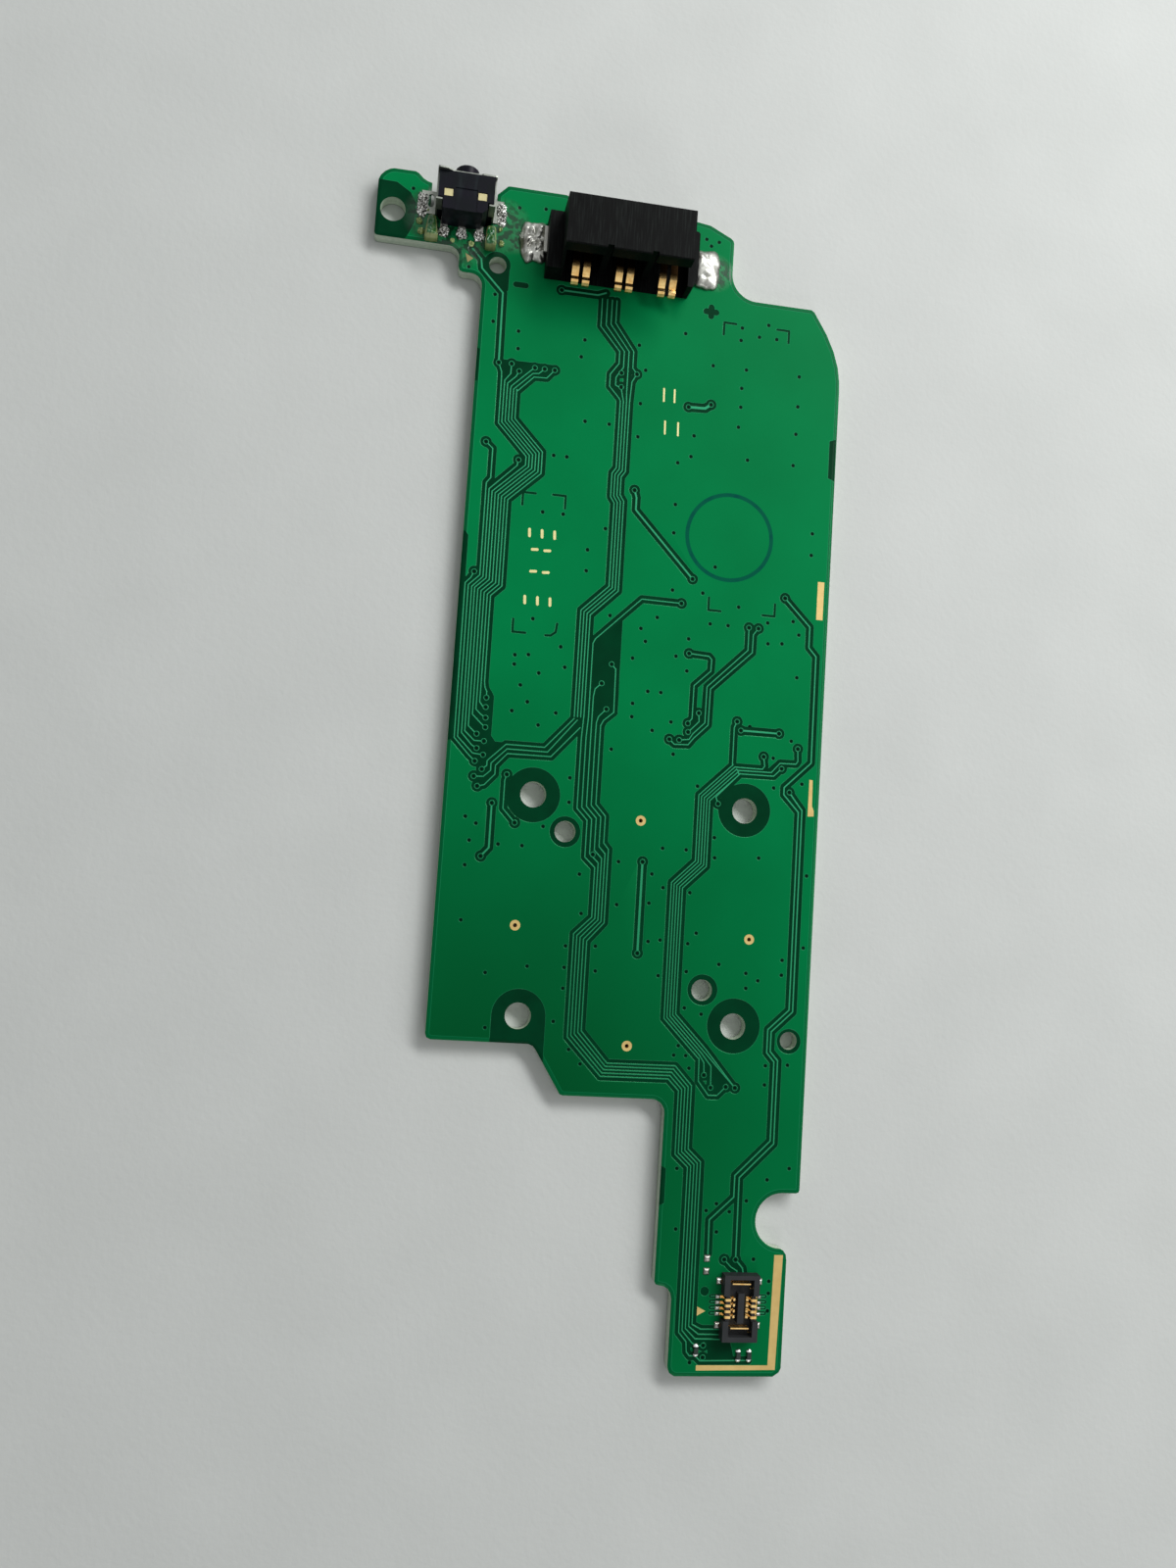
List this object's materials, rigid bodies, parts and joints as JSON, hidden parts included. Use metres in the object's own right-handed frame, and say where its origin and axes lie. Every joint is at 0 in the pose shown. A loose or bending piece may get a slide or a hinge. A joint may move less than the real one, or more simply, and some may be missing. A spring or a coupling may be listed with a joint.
{
  "type": "game console button board",
  "caption": "Notched, tailed circuit board of a handheld console: key contact pads below, battery socket, side-push shoulder switch and fine-pitch board-to-board socket above.",
  "frame": {"origin": "centre of the square of four guide holes, on the board's underside", "axes": "+Z leaves the component side, +Y runs to the battery socket and switch, +X to the long straight edge"},
  "size_m": [0.0365, 0.0871, 0.0059],
  "materials": {
    "mask_green": "glossy solder mask",
    "plated_gold": "thin gold plate",
    "tin_plate": "tinned sheet",
    "solder": "bright set solder",
    "socket_black": "satin moulding",
    "switch_navy": "satin moulding",
    "insulator_beige": "natural moulding",
    "socket_grey": "satin moulding",
    "chip_black": "glazed body with tinned ends"
  },
  "bodies": {
    "board": {"pcb": "mask_green", "ground_strip": "plated_gold", "edge_pad_upper": "plated_gold", "edge_pad_lower": "plated_gold", "index_mark_switch": "plated_gold", "index_mark_flex": "plated_gold", "vent_ring_north": "plated_gold", "vent_ring_east": "plated_gold", "vent_ring_south": "plated_gold", "vent_ring_west": "plated_gold", "key_pad_north": "plated_gold", "key_pad_east": "plated_gold", "key_pad_south": "plated_gold", "key_pad_west": "plated_gold", "battery_socket_housing": "socket_black", "battery_contact_left": "plated_gold", "battery_contact_centre": "plated_gold", "battery_contact_right": "plated_gold", "battery_tab_left": "tin_plate", "battery_tab_right": "tin_plate", "battery_solder_left": "solder", "battery_solder_right": "solder", "switch_housing": "switch_navy", "switch_base": "insulator_beige", "switch_dome": "tin_plate", "switch_frame": "tin_plate", "switch_terminal_left": "tin_plate", "switch_terminal_centre": "tin_plate", "switch_terminal_right": "tin_plate", "switch_solder_left": "solder", "switch_solder_right": "solder", "switch_solder_rear": "solder", "flex_socket_housing": "socket_grey", "flex_contact_w1": "plated_gold", "flex_contact_w2": "plated_gold", "flex_contact_w3": "plated_gold", "flex_contact_w4": "plated_gold", "flex_contact_e1": "plated_gold", "flex_contact_e2": "plated_gold", "flex_contact_e3": "plated_gold", "flex_contact_e4": "plated_gold", "flex_clip_north": "plated_gold", "flex_clip_south": "plated_gold", "flex_solder_west": "solder", "flex_solder_east": "solder", "chip_a": "chip_black", "chip_b": "chip_black", "chip_c": "chip_black", "spare_solder_north": "solder", "spare_solder_south": "solder"},
    "plunger": {"switch_plunger": "socket_black"}
  },
  "joints": [
    {"name": "switch_press", "type": "slide", "parent": "board", "child": "plunger", "axis": [0, -1, 0], "range_m": [0, 0.00025], "stiffness_N_per_m": 6000}
  ]
}
